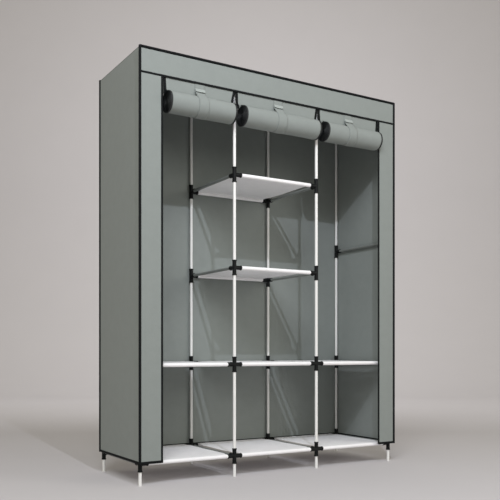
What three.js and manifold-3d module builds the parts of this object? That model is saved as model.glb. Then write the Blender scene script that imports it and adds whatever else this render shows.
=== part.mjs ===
// Portable fabric wardrobe. Thin steel tubes push into plastic connectors and make a frame of three bays.
// Cloth shelves hang on their own cross tubes, and a cloth cover with three roll-up doors goes over it all.
// Millimetres, +Z up, the front towards -Y, the origin on the floor under the middle of the outline.

import * as THREE from "three";
import { mergeVertices } from "three/addons/utils/BufferGeometryUtils.js";
import Module from "manifold-3d";

const wasm = await Module();
wasm.setup();

// Cover: heights are measured from the floor
const coverWidth = 1300;
const coverDepth = 440;
const coverTop = 1705;
const coverHem = 87;
const clothThickness = 1.2;
const headerHeight = 98;
const jambWidth = 98;
const pipingWidth = 7;
const pipingThickness = 1.2;

// Clearance between faces that touch on the real wardrobe, and how far a cut runs past the face it opens
const seatGap = 0.3;
const cutOverrun = 4;

// Tubes and the connectors that they push into
const tubeDiameter = 13;
const tubeWall = 0.8;
const footThickness = 6;
const connectorDiameter = 18;
const connectorHeight = 65;
const armReach = 33;
const socketWall = 1.5;
const teeLength = 50;

// Posts: insets run from the cover's outer faces to the post's axis, levels from the floor to a rung's axis
const sideInset = 12.5;
const frontInset = 27;
const backInset = 12.5;
const floorLevel = 86;
const lowerLevel = 470;
const middleLevel = 876;
const sideLevel = 1047;
const upperLevel = 1266;

// Cloth shelves, each sewn round its two cross tubes
const shelfSleeveDiameter = 16.5;
const shelfEndGap = 2;

// Doors, rolled up and held by a strap each
const doorThickness = 1;
const doorHang = 50;
const rollDiameter = 92;
const rollPostMargin = 22;
const rollJambMargin = 18;
const dropPostMargin = 7;
const dropJambMargin = 1;
const leadRadius = 6;
const hemDiameter = 8;
const seamOverlap = 8;
const strapWidth = 46;
const strapThickness = 1.2;
const strapOffset = -10;
const strapFall = 34;

// Counts of facets round a free tube, round a connector and the tubes joined to it, and in a turn of a roll
const tubeSides = 12;
const connectorSides = 8;
const turnSteps = 16;
const leadSteps = 3;

// Finishes
const COVER_GREY = 0x9ba3a2;
const PIPING_BLACK = 0x15191a;
const TUBE_WHITE = 0xeeeeeb;
const CONNECTOR_BLACK = 0x1c1f20;
const SHELF_WHITE = 0xe4e4e6;

const AXIS_X = new THREE.Vector3(1, 0, 0);
const AXIS_Y = new THREE.Vector3(0, 1, 0);
const AXIS_Z = new THREE.Vector3(0, 0, 1);
const FULL_TURN = 2 * Math.PI;

// Heights and insets that follow from the sizes above
const tubeBore = tubeDiameter - 2 * tubeWall;
const socketBore = (tubeDiameter + 2 * seatGap) / Math.cos(Math.PI / connectorSides); // clear at its flats
const socketFloor = connectorDiameter / 2 + socketWall;
const tubeEnd = socketFloor + seatGap;
const topLevel = coverTop - clothThickness - seatGap - connectorDiameter / 2;
const headerBottom = coverTop - headerHeight;
const rollLevel = headerBottom - doorHang - rollDiameter / 2;
const doorInset = clothThickness + seatGap + strapThickness + seatGap + doorThickness / 2;
const pipingProud = seatGap + pipingThickness;

// The door's cloth below the header, less the hang, all goes into the roll, and that sets the roll's pitch.
const hemClosedLevel = coverHem + hemDiameter / 2;
const rolledLength = headerBottom - doorHang - hemClosedLevel;
const rollOuter = (rollDiameter - doorThickness) / 2;
const rollInner = hemDiameter / 2 + seatGap + doorThickness / 2;
const rollPitch = (Math.PI * (rollOuter ** 2 - rollInner ** 2)) / rolledLength;
const rollTurns = (rollOuter - rollInner) / rollPitch;

// Radius of the door's middle surface, a number of turns in from the top of the roll
const rollRadius = (turn) => rollOuter - rollPitch * turn;
const strapRadius = (turn) => rollRadius(turn) + (doorThickness + strapThickness) / 2 + seatGap;

// Planes and posts. The strap's front, three quarters of a turn in, and the piping behind set the depth.
const frontReach = strapRadius(3 / 4) + strapThickness / 2 - doorInset;
const frontFace = (frontReach - coverDepth - pipingProud) / 2;
const backFace = frontFace + coverDepth;
const sideFace = coverWidth / 2;
const doorPlane = frontFace + doorInset;
const frontPosts = frontFace + frontInset;
const backPosts = backFace - backInset;
const frameDepth = backPosts - frontPosts;
const bayNames = ["left", "middle", "right"];
const bayWidth = (coverWidth - 2 * sideInset) / bayNames.length;
const columns = [...bayNames, "end"].map((_, i) => i * bayWidth + sideInset - sideFace);
const bayCentre = (bay) => (columns[bay] + columns[bay + 1]) / 2;

// Each level names the columns that carry a rung and the bays that carry a shelf.
const levels = [
  { name: "floor", height: floorLevel, columns: [0, 1, 2, 3], shelves: [0, 1, 2] },
  { name: "lower", height: lowerLevel, columns: [0, 1, 2, 3], shelves: [0, 1, 2] },
  { name: "middle", height: middleLevel, columns: [1, 2], shelves: [1] },
  { name: "side", height: sideLevel, columns: [0, 3], shelves: [] },
  { name: "upper", height: upperLevel, columns: [1, 2], shelves: [1] },
];
const hangingBays = [0, 2];

const at = (x, y, z) => new THREE.Vector3(x, y, z);

// A closed geometry as a solid that can be joined and cut
function solidOf(geometry) {
  const bare = geometry.clone();
  bare.deleteAttribute("normal");
  bare.deleteAttribute("uv");
  const welded = mergeVertices(bare);
  return new wasm.Manifold(
    new wasm.Mesh({
      numProp: 3,
      vertProperties: welded.attributes.position.array,
      triVerts: new Uint32Array(welded.index.array),
    }),
  );
}

// Joins the first list of geometries and cuts the second list out of them.
function carve(joined, cuts = []) {
  const whole = joined.map(solidOf).reduce((a, b) => a.add(b));
  const left = cuts.map(solidOf).reduce((a, b) => a.subtract(b), whole);
  const mesh = left.getMesh();
  const geometry = new THREE.BufferGeometry();
  geometry.setAttribute("position", new THREE.BufferAttribute(mesh.vertProperties, mesh.numProp));
  geometry.setIndex(new THREE.BufferAttribute(mesh.triVerts, 1));
  geometry.computeVertexNormals();
  return geometry;
}

// A round bar between the centres of its two ends
function bar(diameter, start, end, sides = connectorSides) {
  const span = end.clone().sub(start);
  const geometry = new THREE.CylinderGeometry(diameter / 2, diameter / 2, span.length(), sides);
  geometry.applyQuaternion(new THREE.Quaternion().setFromUnitVectors(AXIS_Y, span.normalize()));
  return geometry.translate(...start.clone().add(end).divideScalar(2));
}

// A rectangular block between two corners
function block(low, high) {
  const size = high.clone().sub(low);
  return new THREE.BoxGeometry(...size).translate(...low.clone().add(high).divideScalar(2));
}

// A piece of constant section along X, centred on x, from an outline in Y and Z
function extrudeAcross(outline, width, x = 0) {
  const shape = new THREE.Shape(outline);
  const geometry = new THREE.ExtrudeGeometry(shape, { depth: width, bevelEnabled: false });
  geometry.translate(0, 0, x - width / 2);
  return geometry.applyMatrix4(new THREE.Matrix4().makeBasis(AXIS_Y, AXIS_Z, AXIS_X));
}

// A flat sheet from an outline in X and Z, with its thickness centred on the plane y = 0
function extrudeSheet(outline, thickness) {
  const shape = new THREE.Shape(outline);
  const geometry = new THREE.ExtrudeGeometry(shape, { depth: thickness, bevelEnabled: false });
  geometry.translate(0, 0, -thickness / 2);
  return geometry.applyMatrix4(new THREE.Matrix4().makeBasis(AXIS_X, AXIS_Z, AXIS_Y.clone().negate()));
}

// The outline of a band that follows a line of points at a constant thickness
function bandOutline(line, thickness) {
  const sides = [[], []];
  line.forEach((point, i) => {
    const before = line[Math.max(i - 1, 0)];
    const after = line[Math.min(i + 1, line.length - 1)];
    const along = after.clone().sub(before).normalize();
    const across = new THREE.Vector2(-along.y, along.x).multiplyScalar(thickness / 2);
    sides[0].push(point.clone().add(across));
    sides[1].unshift(point.clone().sub(across));
  });
  return [...sides[0], ...sides[1]];
}

const wardrobe = new THREE.Group();

function addPiece(parent, name, geometry, color, roughness, metalness, place = at(0, 0, 0)) {
  const material = new THREE.MeshStandardMaterial({ color, roughness, metalness });
  const piece = new THREE.Mesh(geometry, material);
  piece.name = name;
  piece.position.copy(place);
  parent.add(piece);
}

const addCloth = (parent, name, geometry, place) =>
  addPiece(parent, name, geometry, COVER_GREY, 0.9, 0, place);
const addTube = (parent, name, geometry, place) =>
  addPiece(parent, name, geometry, TUBE_WHITE, 0.4, 0.1, place);

// Posts: lengths of tube end to end, closed at the foot and open at the top
function postGeometry() {
  const height = topLevel - tubeEnd;
  const profile = [
    new THREE.Vector2(0, 0),
    new THREE.Vector2(tubeDiameter / 2, 0),
    new THREE.Vector2(tubeDiameter / 2, height),
    new THREE.Vector2(tubeBore / 2, height),
    new THREE.Vector2(tubeBore / 2, footThickness),
    new THREE.Vector2(0, footThickness),
  ];
  return new THREE.LatheGeometry(profile, tubeSides).rotateX(Math.PI / 2);
}

// Open tube along X between two columns, its ends inside their connectors
function crossTube(from, to) {
  const start = at(columns[from] + tubeEnd, 0, 0);
  const end = at(columns[to] - tubeEnd, 0, 0);
  const past = at(cutOverrun, 0, 0);
  const bore = bar(tubeBore, start.clone().sub(past), end.clone().add(past), tubeSides);
  return carve([bar(tubeDiameter, start, end, tubeSides)], [bore]);
}

// One arm of a connector, pointing left or right from x = 0 at depth y, and its blind socket
function sideArm(side, y) {
  const arm = bar(connectorDiameter, at(0, y, 0), at(side * armReach, y, 0));
  const socket = bar(socketBore, at(side * socketFloor, y, 0), at(side * (armReach + cutOverrun), y, 0));
  return { arm, socket };
}

// The tube of a rung, closed in by its two connectors, with the arms that hold it fore and aft
function rungTube() {
  const front = at(0, 0, 0);
  const back = at(0, frameDepth, 0);
  return [
    bar(tubeDiameter, front, back),
    bar(connectorDiameter, front, at(0, armReach, 0)),
    bar(connectorDiameter, at(0, frameDepth - armReach, 0), back),
  ];
}

// A rung: a connector on the front post, one on the back post and the tube between them
function rungGeometry(sides) {
  const joined = rungTube();
  const cuts = [];
  for (const y of [0, frameDepth]) {
    const low = -connectorHeight / 2;
    const high = connectorHeight / 2;
    joined.push(bar(connectorDiameter, at(0, y, low), at(0, y, high)));
    cuts.push(bar(socketBore, at(0, y, low - cutOverrun), at(0, y, high + cutOverrun)));
    for (const side of sides) {
      const { arm, socket } = sideArm(side, y);
      joined.push(arm);
      cuts.push(socket);
    }
  }
  return carve(joined, cuts);
}

// A top rung: its connectors cap the posts, a rail runs in their arms, and a tee holds a hanging rail.
function topRungGeometry(sides, teeSide) {
  const joined = rungTube();
  const cuts = [];
  for (const y of [0, frameDepth]) {
    const low = -connectorHeight / 2;
    joined.push(bar(connectorDiameter, at(0, y, low), at(0, y, connectorDiameter / 2)));
    cuts.push(bar(socketBore, at(0, y, low - cutOverrun), at(0, y, -socketFloor)));
    for (const side of sides) {
      const { arm, socket } = sideArm(side, y);
      joined.push(arm);
      cuts.push(socket);
    }
    if (sides.length > 1) cuts.push(bar(socketBore, at(-armReach, y, 0), at(armReach, y, 0)));
  }
  const middle = frameDepth / 2;
  const tee = sideArm(teeSide, middle);
  const hub = bar(connectorDiameter, at(0, middle - teeLength / 2, 0), at(0, middle + teeLength / 2, 0));
  joined.push(tee.arm, hub);
  cuts.push(tee.socket);
  return carve(joined, cuts);
}

// A shelf: flat cloth sewn round two cross tubes, whose ends stand out into the connector arms
function shelfGeometry() {
  const clothHalf = bayWidth / 2 - armReach - shelfEndGap;
  const tubeHalf = bayWidth / 2 - tubeEnd;
  const top = shelfSleeveDiameter / 2;
  const joined = [block(at(-clothHalf, 0, top - clothThickness), at(clothHalf, frameDepth, top))];
  for (const y of [0, frameDepth]) {
    joined.push(bar(shelfSleeveDiameter, at(-clothHalf, y, 0), at(clothHalf, y, 0)));
    joined.push(bar(tubeDiameter, at(-tubeHalf, y, 0), at(tubeHalf, y, 0)));
  }
  return carve(joined);
}

function addFrame() {
  const frame = new THREE.Group();
  wardrobe.add(frame);
  columns.forEach((x, i) => {
    addTube(frame, `front_post_${i + 1}`, postGeometry(), at(x, frontPosts, 0));
    addTube(frame, `back_post_${i + 1}`, postGeometry(), at(x, backPosts, 0));
  });
  for (const level of levels) {
    for (const column of level.columns) {
      const sides = [];
      if (level.shelves.includes(column - 1)) sides.push(-1);
      if (level.shelves.includes(column)) sides.push(1);
      const place = at(columns[column], frontPosts, level.height);
      const name = `${level.name}_rung_${column + 1}`;
      addPiece(frame, name, rungGeometry(sides), CONNECTOR_BLACK, 0.5, 0, place);
    }
    for (const bay of level.shelves) {
      const suffix = level.shelves.length > 1 ? `_${bayNames[bay]}` : "";
      const name = `${level.name}_shelf${suffix}`;
      const place = at(bayCentre(bay), frontPosts, level.height);
      addPiece(frame, name, shelfGeometry(), SHELF_WHITE, 0.85, 0, place);
    }
  }
  columns.forEach((x, i) => {
    const sides = [-1, 1].filter((side) => columns[i + side] !== undefined);
    const teeSide = hangingBays.includes(i) ? 1 : -1;
    const place = at(x, frontPosts, topLevel);
    addPiece(frame, `top_rung_${i + 1}`, topRungGeometry(sides, teeSide), CONNECTOR_BLACK, 0.5, 0, place);
  });
  const last = columns.length - 1;
  addTube(frame, "top_rail_front", crossTube(0, last), at(0, frontPosts, topLevel));
  addTube(frame, "top_rail_back", crossTube(0, last), at(0, backPosts, topLevel));
  for (const bay of hangingBays) {
    const place = at(0, (frontPosts + backPosts) / 2, topLevel);
    addTube(frame, `hanging_rail_${bayNames[bay]}`, crossTube(bay, bay + 1), place);
  }
}

// The cover's panels, each a flat cloth that meets its neighbours edge to edge
function addCover() {
  const cover = new THREE.Group();
  wardrobe.add(cover);
  const underTop = coverTop - clothThickness - seatGap;
  const inFront = frontFace + clothThickness + seatGap;
  const inBack = backFace - clothThickness - seatGap;
  const panel = (name, low, high) => addCloth(cover, name, block(low, high));
  panel("cover_top", at(-sideFace, frontFace, coverTop - clothThickness), at(sideFace, backFace, coverTop));
  panel("cover_back", at(-sideFace, backFace - clothThickness, coverHem), at(sideFace, backFace, underTop));
  panel(
    "cover_header",
    at(-sideFace, frontFace, headerBottom),
    at(sideFace, frontFace + clothThickness, underTop),
  );
  for (const [name, side] of [["left", -1], ["right", 1]]) {
    const outer = side * sideFace;
    const inner = side * (sideFace - clothThickness);
    const jambEdge = side * (sideFace - jambWidth);
    panel(
      `cover_side_${name}`,
      at(Math.min(outer, inner), inFront, coverHem),
      at(Math.max(outer, inner), inBack, underTop),
    );
    panel(
      `cover_jamb_${name}`,
      at(Math.min(outer, jambEdge), frontFace, coverHem),
      at(Math.max(outer, jambEdge), frontFace + clothThickness, headerBottom - seatGap),
    );
  }
  addPiece(cover, "cover_piping", pipingGeometry(), PIPING_BLACK, 0.7, 0);
}

// Piping: one band over the upright corners, the top front edge, the door openings and every hem
function pipingGeometry() {
  const outX = sideFace + pipingProud;
  const outFront = frontFace - pipingProud;
  const outBack = backFace + pipingProud;
  const hemTop = coverHem + pipingWidth;
  const topLow = coverTop - pipingWidth;
  const lineLow = headerBottom - pipingWidth / 2;
  const strips = [
    block(at(-outX, outFront, topLow), at(outX, frontFace + pipingWidth, coverTop + pipingProud)),
    block(at(-outX, outFront, lineLow), at(outX, frontFace, lineLow + pipingWidth)),
    block(at(-outX, backFace, coverHem), at(outX, outBack, hemTop)),
  ];
  for (const side of [-1, 1]) {
    const between = (a, b, y0, y1, z0, z1) =>
      block(at(Math.min(side * a, side * b), y0, z0), at(Math.max(side * a, side * b), y1, z1));
    const cornerEdge = sideFace - pipingWidth;
    const jambEdge = sideFace - jambWidth;
    strips.push(
      between(cornerEdge, outX, outFront, frontFace + pipingWidth, coverHem, coverTop),
      between(cornerEdge, outX, backFace - pipingWidth, outBack, coverHem, coverTop),
      between(jambEdge, jambEdge + pipingWidth, outFront, frontFace, coverHem, headerBottom),
      between(jambEdge, outX, outFront, frontFace, coverHem, hemTop),
      between(sideFace, outX, outFront, outBack, coverHem, hemTop),
    );
  }
  const coverBody = block(
    at(-sideFace - seatGap, frontFace - seatGap, coverHem - cutOverrun),
    at(sideFace + seatGap, backFace + seatGap, coverTop + seatGap),
  );
  return carve(strips, [coverBody]);
}

// Turns from one value to another in whole facets, so layers wound on each other keep their facets parallel
function facetTurns(from, to) {
  const turns = [from];
  for (let i = Math.floor(from * turnSteps) + 1; i < to * turnSteps; i++) turns.push(i / turnSteps);
  return [...turns, to];
}

// A point in Y and Z at a radius, a number of turns from the top of the roll round its back
function rollPoint(radius, turn) {
  const angle = turn * FULL_TURN;
  return new THREE.Vector2(Math.sin(angle), Math.cos(angle)).multiplyScalar(radius);
}

// Points of the rolled cloth in Y and Z from the roll's axis: from the drop, over the back and in to the hem
function rollLine() {
  const line = [];
  for (let i = 0; i < leadSteps; i++) {
    const angle = (i / leadSteps) * (Math.PI / 2);
    const inward = leadRadius * (1 - Math.cos(angle));
    line.push(new THREE.Vector2(inward, rollOuter + leadRadius * (1 - Math.sin(angle))));
  }
  const start = Math.asin(leadRadius / rollOuter) / FULL_TURN;
  for (const turn of facetTurns(start, rollTurns)) line.push(rollPoint(rollRadius(turn), turn));
  return line;
}

// Points of the strap in Y and Z from the roll's axis: down the drop's back, round the roll and up its front
function strapLine() {
  const top = headerBottom + seamOverlap - rollLevel;
  const bend = headerBottom - strapFall - rollLevel;
  const legInset = (doorThickness + strapThickness) / 2 + seatGap;
  const touch = Math.acos(strapRadius(0) / bend) / FULL_TURN;
  const line = [new THREE.Vector2(legInset, top), new THREE.Vector2(legInset, bend)];
  for (const turn of facetTurns(touch, 1 - touch)) line.push(rollPoint(strapRadius(turn), turn));
  line.push(new THREE.Vector2(-legInset, bend), new THREE.Vector2(-legInset, top));
  return line;
}

// Least clear space between one turn of the rolled cloth and the next
function leastRollGap(line) {
  let least = Infinity;
  line.forEach((point, i) => {
    line.slice(i + turnSteps / 2).forEach((other) => {
      least = Math.min(least, point.distanceTo(other) - doorThickness);
    });
  });
  return least;
}

// Left and right edges of a door's roll and of the top of its drop
function doorEdges(bay) {
  const jamb = sideFace - jambWidth;
  const left = bay === 0 ? -jamb : columns[bay];
  const right = bay === bayNames.length - 1 ? jamb : columns[bay + 1];
  const rollLeft = left + (bay === 0 ? rollJambMargin : rollPostMargin);
  const rollRight = right - (bay === bayNames.length - 1 ? rollJambMargin : rollPostMargin);
  const dropLeft = left + (bay === 0 ? dropJambMargin : dropPostMargin);
  const dropRight = right - (bay === bayNames.length - 1 ? dropJambMargin : dropPostMargin);
  return { rollLeft, rollRight, dropLeft, dropRight };
}

function addDoor(bay) {
  const { rollLeft, rollRight, dropLeft, dropRight } = doorEdges(bay);
  const centre = (rollLeft + rollRight) / 2;
  const rollWidth = rollRight - rollLeft;
  const door = new THREE.Group();
  door.position.set(centre, doorPlane, rollLevel);
  wardrobe.add(door);
  const name = `door_${bayNames[bay]}`;

  const line = rollLine();
  addCloth(door, `${name}_roll`, extrudeAcross(bandOutline(line, doorThickness), rollWidth));
  const band = bandOutline(strapLine(), strapThickness);
  addCloth(door, `${name}_strap`, extrudeAcross(band, strapWidth, strapOffset));

  const seam = headerBottom - rollLevel;
  const low = rollOuter + leadRadius + seatGap;
  const outline = [
    [dropLeft, seam + seamOverlap],
    [dropLeft, seam],
    [rollLeft, low],
    [rollRight, low],
    [dropRight, seam],
    [dropRight, seam + seamOverlap],
  ].map(([x, z]) => new THREE.Vector2(x - centre, z));
  addCloth(door, `${name}_drop`, extrudeSheet(outline, doorThickness));

  const hem = bar(hemDiameter, at(-rollWidth / 2, 0, 0), at(rollWidth / 2, 0, 0), tubeSides);
  addPiece(door, `${name}_hem`, hem, PIPING_BLACK, 0.7, 0);
}

addFrame();
addCover();
bayNames.forEach((_, bay) => addDoor(bay));
const leastGap = leastRollGap(rollLine()).toFixed(2);
console.log(`door roll: ${rollTurns.toFixed(1)} turns, least gap ${leastGap} mm`);

export default wardrobe;
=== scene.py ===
"""Portable fabric wardrobe: its tubes, connectors, cloth shelves, cover and roll-up doors.

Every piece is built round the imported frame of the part. Lengths are in metres, +Z is up, and the open
front faces -Y.
"""

import functools
import math

import bmesh
import bpy
import numpy as np
from bpy.props import FloatProperty, FloatVectorProperty, IntProperty, PointerProperty
from mathutils import Matrix, Vector, noise


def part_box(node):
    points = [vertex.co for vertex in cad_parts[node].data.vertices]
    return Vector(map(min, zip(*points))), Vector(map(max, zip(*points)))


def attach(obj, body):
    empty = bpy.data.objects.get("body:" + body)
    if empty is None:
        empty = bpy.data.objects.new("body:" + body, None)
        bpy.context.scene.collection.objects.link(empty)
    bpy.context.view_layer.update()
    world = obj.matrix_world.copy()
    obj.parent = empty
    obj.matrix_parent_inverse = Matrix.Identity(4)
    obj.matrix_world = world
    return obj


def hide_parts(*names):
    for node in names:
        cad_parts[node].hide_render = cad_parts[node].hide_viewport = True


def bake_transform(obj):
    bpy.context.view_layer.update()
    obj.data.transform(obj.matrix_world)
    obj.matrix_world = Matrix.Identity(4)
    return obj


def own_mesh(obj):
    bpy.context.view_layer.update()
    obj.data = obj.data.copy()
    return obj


bl_info = {
    "name": "Fabric Wardrobe",
    "version": (1, 0, 0),
    "blender": (4, 5, 0),
    "location": "3D View > Sidebar > Wardrobe",
    "description": "Builds the tubes, connectors, shelves, cover and doors of a portable fabric wardrobe",
    "category": "Add Mesh",
}

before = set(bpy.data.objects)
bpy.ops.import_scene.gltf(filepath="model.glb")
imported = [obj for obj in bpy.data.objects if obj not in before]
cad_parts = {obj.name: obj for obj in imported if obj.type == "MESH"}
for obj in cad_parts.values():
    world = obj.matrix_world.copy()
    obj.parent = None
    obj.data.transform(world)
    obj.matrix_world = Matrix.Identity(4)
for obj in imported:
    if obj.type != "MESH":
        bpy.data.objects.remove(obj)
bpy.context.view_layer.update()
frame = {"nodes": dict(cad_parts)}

MM = 0.001
BAYS = ("left", "middle", "right")
ROWS = {"front": 1, "back": -1}
HANGING_RAILS = ("hanging_rail_left", "hanging_rail_right")
CLEAR = 0.3 * MM

# How far right of its node each side edge of a door's hanging stretch stands, at the header and at the roll,
# in millimetres; then how far a strap and the right end of a roll and its hem do
DOOR_EDGES = {
    ("left", -1): (1, 4), ("left", 1): (-2.5, -12.5),
    ("middle", -1): (-15.5, -14), ("middle", 1): (-3.5, -11),
    ("right", -1): (-16.5, -14.5), ("right", 1): (0, -2),
}
STRAP_SHIFT = {"left": 6 * MM}
ROLL_OVER = {"middle": 6 * MM, "right": 13 * MM}


# Places read from the frame

@functools.cache
def box(node):
    """Lowest and highest corners of a node of the frame"""
    return [Vector(corner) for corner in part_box(node)]


def low(node):
    """Lowest corner of a node of the frame"""
    return box(node)[0].copy()


def high(node):
    """Highest corner of a node of the frame"""
    return box(node)[1].copy()


def middle(node):
    """Middle of a node's box"""
    return (low(node) + high(node)) / 2


POSTS = {row: [middle(f"{row}_post_{i}") for i in (1, 2, 3, 4)] for row in ROWS}
POST_TOP = high("front_post_1").z
TUBE_DIAMETER = high("front_post_1").x - low("front_post_1").x
ARM_DIAMETER = high("side_rung_1").x - low("side_rung_1").x
HUB_HEIGHT = high("side_rung_1").z - low("side_rung_1").z
ARM_REACH = (high("floor_rung_2").x - low("floor_rung_2").x) / 2
TUBE_END = low("top_rail_front").x - POSTS["front"][0].x
FRONT = low("cover_header").y
BACK = high("cover_back").y
SIDE = high("cover_side_right").x
TOP = high("cover_top").z
HEM = low("cover_back").z
CLOTH = TOP - low("cover_top").z
HEADER_BOTTOM = low("cover_header").z
JAMB_EDGE = low("cover_jamb_right").x
DOOR_PLANE = middle("door_left_drop").y
DOOR_CLOTH = high("door_left_drop").y - low("door_left_drop").y
ROLL_LEVEL = middle("door_left_hem").z
HEM_DIAMETER = high("door_left_hem").z - low("door_left_hem").z
SHELF_SLEEVE = high("floor_shelf_left").z - low("floor_shelf_left").z
RUNGS = sorted(name for name in frame["nodes"] if "_rung_" in name)
SHELVES = sorted(name for name in frame["nodes"] if "_shelf" in name)

# Half the length of a shelf's tube, and half the width of its cloth at the tubes
SHELF_TUBE_REACH = (POSTS["front"][1].x - POSTS["front"][0].x) / 2 - TUBE_END
SHELF_REACH = SHELF_TUBE_REACH + TUBE_END - ARM_REACH - 2 * MM


# Settings

def colour_setting(name, description, default):
    """A colour among the settings"""
    return FloatVectorProperty(
        name=name, description=description, subtype="COLOR", default=default, min=0, max=1)


def length_setting(name, description, default):
    """A length among the settings, in metres"""
    return FloatProperty(name=name, description=description, subtype="DISTANCE", default=default)


def power_setting(name, description, default):
    """A lamp's power among the settings, in watts"""
    return FloatProperty(name=name, description=description, subtype="POWER", default=default)


class ClothSettings(bpy.types.PropertyGroup):
    """Colours, evenness and edges of every cloth"""

    cover_colour: colour_setting("Cover", "Colour of the cover and the doors", (0.243, 0.266, 0.253))
    shelf_colour: colour_setting("Shelves", "Colour of the shelf cloth", (0.9, 0.89, 0.9))
    binding_colour: colour_setting(
        "Binding", "Colour of the piping, bindings and hems", (0.0045, 0.0055, 0.006))
    cover_wave: length_setting("Cover wave", "Depth of the waves in the hung cover", 1.6 * MM)
    roof_sag: length_setting("Roof sag", "How far the roof hangs down between its rungs", 5 * MM)
    shelf_sag: length_setting("Shelf sag", "How far a shelf hangs down between its tubes", 3 * MM)
    grid: length_setting("Cloth grid", "Spacing of the cover's mesh", 12 * MM)
    piping: length_setting("Piping", "Thickness of the bound seam along the corners", 9.4 * MM)
    piping_depth: length_setting(
        "Piping depth", "Width of the bound seam from its root to its lip", 13 * MM)
    tape: length_setting("Tape", "Width of the tape on the header and the jambs", 9 * MM)
    hem_tape: length_setting("Hem tape", "Width of the tape on the cover's hem", 10.5 * MM)
    stitch_pitch: length_setting("Stitch pitch", "Length of a stitch and its gap", 6 * MM)


class DoorSettings(bpy.types.PropertyGroup):
    """Sizes of the rolled doors"""

    roll: length_setting("Roll", "Diameter of a rolled door", 92 * MM)
    hang: length_setting("Hang", "Height of the stretch that hangs between header and roll", 50 * MM)
    lead: length_setting("Lead", "Radius of the turn from the hanging stretch on to the roll", 6 * MM)
    strap: length_setting("Strap", "Thickness of a strap", 1.2 * MM)
    strap_fall: length_setting(
        "Strap fall", "How far a strap hangs down before it leaves the door", 34 * MM)
    edge_tape: length_setting("Edge tape", "Width of the tape on a hanging stretch's sides", 11 * MM)
    turn_steps: IntProperty(
        name="Turn steps", description="Steps in one turn of the roll", default=48)


class FrameSettings(bpy.types.PropertyGroup):
    """Finish of the tubes and the connectors"""

    tube_colour: colour_setting("Tubes", "Colour of the powder-coated tubes", (0.83, 0.83, 0.81))
    # Partly painted shade: the rungs' dark grey also stands in for the shade that falls on them under and
    # between the shelves.
    rung_colour_and_painted_shade: colour_setting(
        "Rungs", "Colour of the grey tubes from front to back", (0.2, 0.215, 0.205))
    plastic_colour: colour_setting(
        "Connectors", "Colour of the moulded connectors", (0.0062, 0.007, 0.0072))
    collar: length_setting("Collar", "How far the collar at an arm's mouth stands out", 0.9 * MM)
    round_sides: IntProperty(
        name="Round sides", description="Facets round a tube or an arm", default=40)


class StageSettings(bpy.types.PropertyGroup):
    """Camera, light and backdrop"""

    camera: FloatVectorProperty(
        name="Camera", description="Place of the camera", subtype="TRANSLATION", unit="LENGTH",
        default=(-1.7743, -2.8647, 0.5264))
    turn: FloatProperty(
        name="Turn", description="Turn of the level camera from +Y towards +X", subtype="ANGLE",
        default=math.radians(31.33))
    lens: FloatProperty(name="Lens", description="Focal length in millimetres", default=53.4)
    rise: FloatProperty(name="Rise", description="Upward shift of the picture", default=0.2018)
    key: power_setting("Key", "Power of the small key light", 33.4)
    fill: power_setting("Fill", "Power of the broad light on the left", 91)
    rim: power_setting("Rim", "Power of the broad light on the right", 47)
    wash: power_setting("Wash", "Power of the lights on the wall", 130)
    ambient: FloatProperty(name="Ambient", description="Strength of the light from all round", default=0.464)
    floor_colour: colour_setting(
        "Floor", "Colour of the floor and the backdrop", (0.558, 0.538, 0.547))


# Node graphs and materials

class Graph:
    """A node tree with short calls that add nodes and feed their sockets"""

    def __init__(self, tree):
        self.tree = tree

    def add(self, kind, feeds=None, **settings):
        """Adds a node, sets its own values, and feeds its inputs from sockets or plain values."""
        node = self.tree.nodes.new(kind)
        for key, value in settings.items():
            setattr(node, key, value)
        for key, value in (feeds or {}).items():
            self.feed(node.inputs[key], value)
        return node

    def feed(self, socket, value):
        """Links a socket to an input, or sets the input's own value."""
        if isinstance(value, bpy.types.NodeSocket):
            self.tree.links.new(value, socket)
        else:
            socket.default_value = value

    def math(self, operation, *values):
        """A math node's result"""
        return self.add("ShaderNodeMath", dict(enumerate(values)), operation=operation).outputs[0]


def new_material(name, coordinates="Object"):
    """A material with an empty graph but for its shader, and the coordinates that its pattern follows"""
    material = bpy.data.materials.new(name)
    material.use_nodes = True
    graph = Graph(material.node_tree)
    place = graph.add("ShaderNodeTexCoord").outputs[coordinates]
    return material, graph, material.node_tree.nodes["Principled BSDF"], place


def toned(colour, share):
    """A colour's channels made darker or lighter"""
    return [share * channel for channel in colour]


def shade(colour, share):
    """A colour made darker or lighter, with full alpha"""
    return (*[min(1, channel) for channel in toned(colour, share)], 1)


def noise_at(graph, place, scale, detail=2.0, stretch=None):
    """Values of a noise that has scale features to the metre"""
    if stretch:
        place = graph.add("ShaderNodeMapping", {"Vector": place, "Scale": stretch}).outputs["Vector"]
    feeds = {"Vector": place, "Scale": scale, "Detail": detail}
    return graph.add("ShaderNodeTexNoise", feeds).outputs["Fac"]


def between(graph, factor, first, second):
    """A colour that runs from one to another"""
    feeds = {"Factor": factor, "A": first, "B": second}
    return graph.add("ShaderNodeMix", feeds, data_type="RGBA").outputs["Result"]


def bonded_dots(graph, place, pitch, vertical):
    """Heights of a diamond lattice of small bonded dots"""
    turn = 2 * math.pi / pitch
    axes = graph.add("ShaderNodeSeparateXYZ", {"Vector": place})
    across, up = axes.outputs["X"], axes.outputs[vertical]
    falling = graph.math("SINE", graph.math("MULTIPLY", graph.math("ADD", across, up), turn))
    rising = graph.math("SINE", graph.math("MULTIPLY", graph.math("SUBTRACT", across, up), turn))
    return graph.math("MULTIPLY", falling, rising)


def bumped(graph, height, strength, distance, under=None):
    """A normal that follows heights, over another one where there is one"""
    feeds = {"Height": height, "Strength": strength, "Distance": distance}
    if under is not None:
        feeds["Normal"] = under
    return graph.add("ShaderNodeBump", feeds).outputs["Normal"]


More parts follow.
